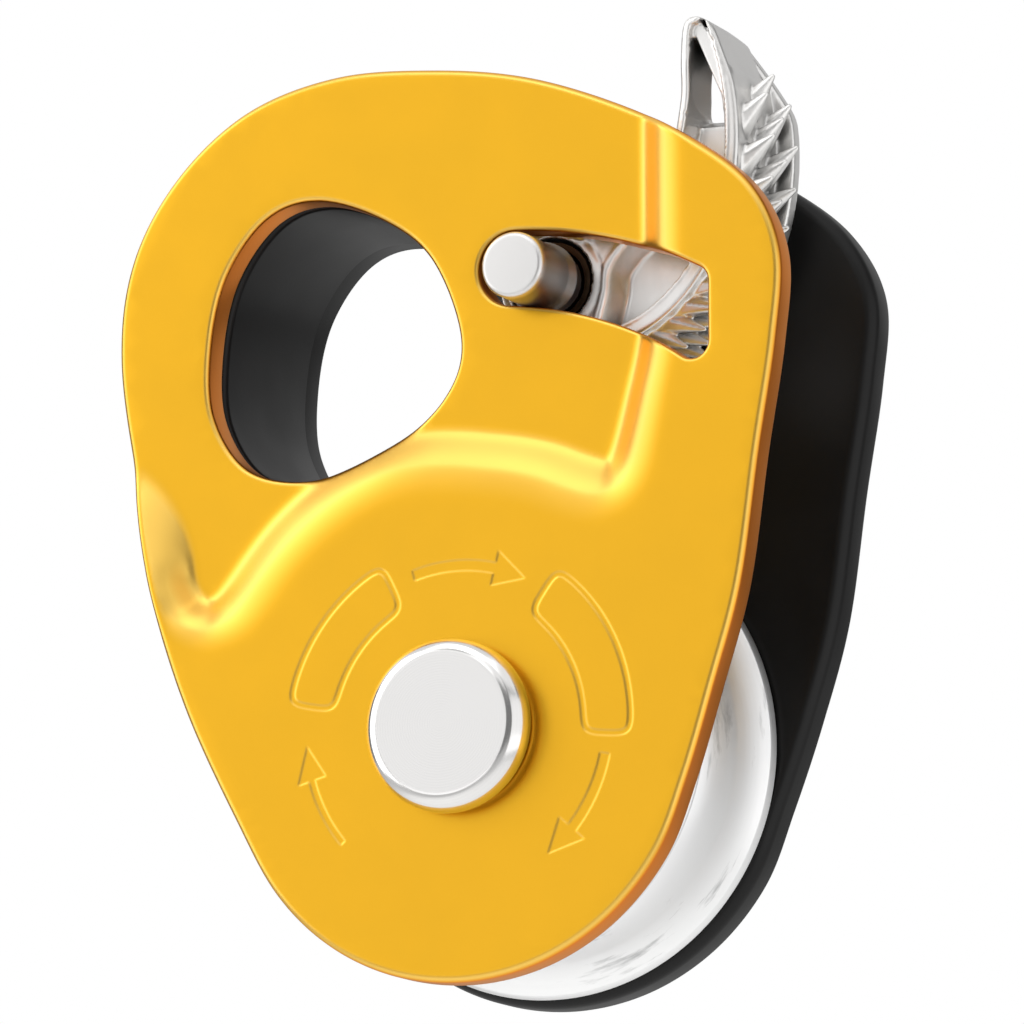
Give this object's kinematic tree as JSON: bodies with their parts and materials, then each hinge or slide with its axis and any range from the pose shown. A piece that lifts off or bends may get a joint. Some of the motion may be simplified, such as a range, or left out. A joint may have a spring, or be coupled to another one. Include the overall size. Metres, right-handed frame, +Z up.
{
  "type": "rope pulley",
  "caption": "Compact hanging rope pulley with a ball-bearing sheave between side plates and a toothed spring cam that lets the rope run one way.",
  "frame": {"origin": "middle of the attachment hole, in the middle plane of the sheave", "axes": "+Z up along the pulley's length, from the sheave towards the attachment hole; +Y along the axles, from the moving plate's side to the fixed plate's side"},
  "size_m": [0.0608, 0.0271, 0.0797],
  "materials": {
    "gold_anodised": "fine horizontal brushing, satin gold anodising",
    "black_anodised": "satin black anodising",
    "turned_steel": "lathe-turned, fine concentric lines",
    "cast_steel": "cast and tumbled, soft edges",
    "polished_alloy": "machined and polished, fine streaks round the groove",
    "bronze": "sintered bearing bronze",
    "spring_steel": "drawn wire",
    "seal_rubber": "moulded black rubber",
    "cage_plastic": "moulded polyamide"
  },
  "bodies": {
    "frame": {"fixed_side_plate": "black_anodised", "sheave_axle": "turned_steel", "head_washer": "turned_steel", "axle_end_ring": "turned_steel", "front_spacer": "turned_steel", "rear_spacer": "turned_steel", "bearing_inner_ring": "turned_steel", "cam_axle": "turned_steel", "cam_spacer": "turned_steel", "cam_spring": "spring_steel", "button_spring": "spring_steel"},
    "moving_plate": {"moving_side_plate": "gold_anodised", "plate_bush": "bronze"},
    "sheave": {"sheave": "polished_alloy", "bearing_outer_ring": "turned_steel", "front_seal": "seal_rubber", "rear_seal": "seal_rubber", "bearing_clip": "spring_steel"},
    "ball_set": {"bearing_cage": "cage_plastic", "bearing_ball_1": "turned_steel", "bearing_ball_2": "turned_steel", "bearing_ball_3": "turned_steel", "bearing_ball_4": "turned_steel", "bearing_ball_5": "turned_steel", "bearing_ball_6": "turned_steel", "bearing_ball_7": "turned_steel", "bearing_ball_8": "turned_steel"},
    "cam": {"cam": "cast_steel", "cam_bush": "bronze"},
    "button": {"cam_button": "turned_steel"}
  },
  "joints": [
    {"name": "plate_swing", "type": "hinge", "parent": "frame", "child": "moving_plate", "pos_m": [0.012, 0, -0.0335], "axis": [0, -1, 0], "range_deg": [0, 22]},
    {"name": "sheave_spin", "type": "hinge", "parent": "frame", "child": "sheave", "pos_m": [0.012, 0, -0.0335], "axis": [0, 1, 0], "continuous": true},
    {"name": "ball_set_spin", "type": "hinge", "parent": "frame", "child": "ball_set", "pos_m": [0.012, 0, -0.0335], "axis": [0, 1, 0], "continuous": true},
    {"name": "cam_pivot", "type": "hinge", "parent": "frame", "child": "cam", "pos_m": [0.0172, 0, 0.0041], "axis": [0, 1, 0], "range_deg": [0, 104]},
    {"name": "button_push", "type": "slide", "parent": "frame", "child": "button", "axis": [0, 1, 0], "range_m": [0, 0.0015], "stiffness_N_per_m": 400}
  ],
  "couplings": [
    {"joint": "ball_set_spin", "follows": "sheave_spin", "ratio": 0.597}
  ]
}
